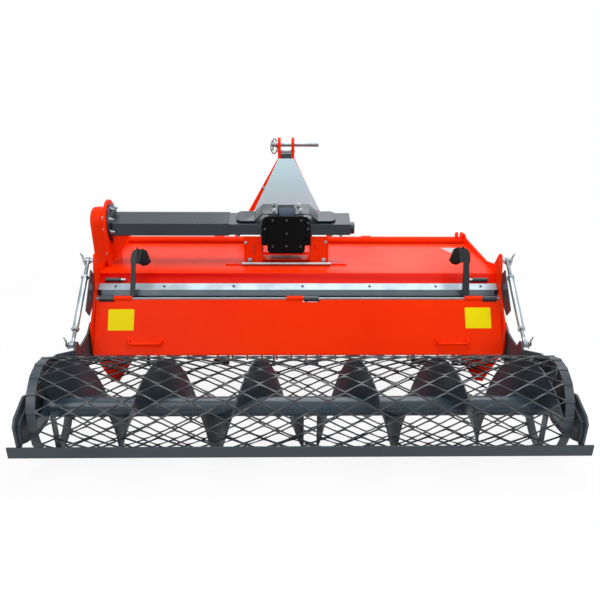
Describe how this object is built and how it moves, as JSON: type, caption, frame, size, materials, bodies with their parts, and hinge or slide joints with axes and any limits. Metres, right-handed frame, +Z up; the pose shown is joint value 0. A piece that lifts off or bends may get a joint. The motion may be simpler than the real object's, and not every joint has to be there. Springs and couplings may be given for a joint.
{
  "type": "stone burier",
  "caption": "Tractor-mounted stone burier: rotor under a red hood, side gearcase, adjustable arms with a mesh roller and scraper bar, swinging rear door and three-point headstock.",
  "frame": {"origin": "On the ground, under the middle of the whole machine's length and width", "axes": "+X to the right seen from behind, +Y forward to the tractor, +Z up"},
  "size_m": [2.234, 1.836, 1.192],
  "materials": {
    "red_paint": "gloss orange-red powder coat",
    "anthracite_paint": "satin anthracite paint",
    "zinc_plate": "zinc-plated steel",
    "black_casting": "black painted casting",
    "bare_steel": "dark worn steel",
    "black_rubber": "matt black rubber"
  },
  "bodies": {
    "frame": {"side_plate_left": "red_paint", "side_plate_right": "red_paint", "side_guard_left": "anthracite_paint", "side_guard_right": "anthracite_paint", "hood": "red_paint", "front_beam": "red_paint", "cross_tube": "red_paint", "stone_grid": "red_paint", "headstock": "red_paint", "headstock_plate": "zinc_plate", "top_link_ears": "red_paint", "top_link_block": "anthracite_paint", "top_link_pin": "zinc_plate", "lower_link_lug_left": "red_paint", "lower_link_lug_right": "red_paint", "lower_link_pin_left": "zinc_plate", "lower_link_pin_right": "zinc_plate", "gearbox_bracket": "red_paint", "bracket_rod": "zinc_plate", "transmission_tube": "anthracite_paint", "tube_stub": "anthracite_paint", "tube_flange": "anthracite_paint", "gearcase": "red_paint", "gearcase_cover": "red_paint", "gearcase_gusset": "red_paint", "rotor_bearing": "red_paint", "gearbox": "black_casting", "gearbox_cover": "black_casting", "gearbox_wing_left": "anthracite_paint", "gearbox_wing_right": "anthracite_paint", "rail": "zinc_plate", "rubber_strip": "black_rubber", "hinge_lugs": "anthracite_paint", "hinge_rod": "zinc_plate"},
    "rotor": {"rotor": "bare_steel"},
    "input_shaft": {"input_shaft": "bare_steel"},
    "roller_arms": {"roller_arm_left": "anthracite_paint", "roller_arm_right": "anthracite_paint", "scraper_bar": "anthracite_paint", "scraper_bracket_left": "anthracite_paint", "scraper_bracket_right": "anthracite_paint"},
    "roller": {"roller_core": "anthracite_paint", "roller_mesh": "anthracite_paint", "roller_rims": "anthracite_paint"},
    "rear_door": {"rear_door": "red_paint", "door_handles": "red_paint", "stop_arms": "anthracite_paint", "stop_pads": "black_rubber"},
    "turnbuckle_left": {"turnbuckle_sleeve_left": "zinc_plate"},
    "turnbuckle_rod_left": {"turnbuckle_rod_left": "zinc_plate"},
    "turnbuckle_right": {"turnbuckle_sleeve_right": "zinc_plate"},
    "turnbuckle_rod_right": {"turnbuckle_rod_right": "zinc_plate"}
  },
  "joints": [
    {"name": "rotor_spin", "type": "hinge", "parent": "frame", "child": "rotor", "pos_m": [0, 0.348, 0.256], "axis": [1, 0, 0], "continuous": true},
    {"name": "input_spin", "type": "hinge", "parent": "frame", "child": "input_shaft", "pos_m": [-0.063, 0.548, 0.712], "axis": [0, 1, 0], "continuous": true},
    {"name": "roller_arms_tilt", "type": "hinge", "parent": "frame", "child": "roller_arms", "pos_m": [0, 0.108, 0.28], "axis": [1, 0, 0], "range_deg": [-6, 6]},
    {"name": "roller_spin", "type": "hinge", "parent": "roller_arms", "child": "roller", "pos_m": [0, -0.652, 0.21], "axis": [1, 0, 0], "continuous": true},
    {"name": "rear_door_swing", "type": "hinge", "parent": "frame", "child": "rear_door", "pos_m": [0, -0.02, 0.4905], "axis": [-1, 0, 0], "range_deg": [0, 18]},
    {"name": "turnbuckle_left_swing", "type": "hinge", "parent": "frame", "child": "turnbuckle_left", "pos_m": [-1.029, 0.064, 0.658], "axis": [1, 0, 0], "range_deg": [-4, 4]},
    {"name": "turnbuckle_left_length", "type": "slide", "parent": "turnbuckle_left", "child": "turnbuckle_rod_left", "axis": [0, -0.7877, -0.6161], "range_m": [-0.036, 0.036]},
    {"name": "turnbuckle_right_swing", "type": "hinge", "parent": "frame", "child": "turnbuckle_right", "pos_m": [1.029, 0.064, 0.658], "axis": [1, 0, 0], "range_deg": [-4, 4]},
    {"name": "turnbuckle_right_length", "type": "slide", "parent": "turnbuckle_right", "child": "turnbuckle_rod_right", "axis": [0, -0.7877, -0.6161], "range_m": [-0.036, 0.036]}
  ],
  "couplings": [
    {"joint": "input_spin", "follows": "rotor_spin", "ratio": 2.3},
    {"joint": "turnbuckle_left_swing", "follows": "roller_arms_tilt", "ratio": 0.5902},
    {"joint": "turnbuckle_left_length", "follows": "roller_arms_tilt", "m_per_rad": 0.32485},
    {"joint": "turnbuckle_right_swing", "follows": "roller_arms_tilt", "ratio": 0.5902},
    {"joint": "turnbuckle_right_length", "follows": "roller_arms_tilt", "m_per_rad": 0.32485}
  ]
}
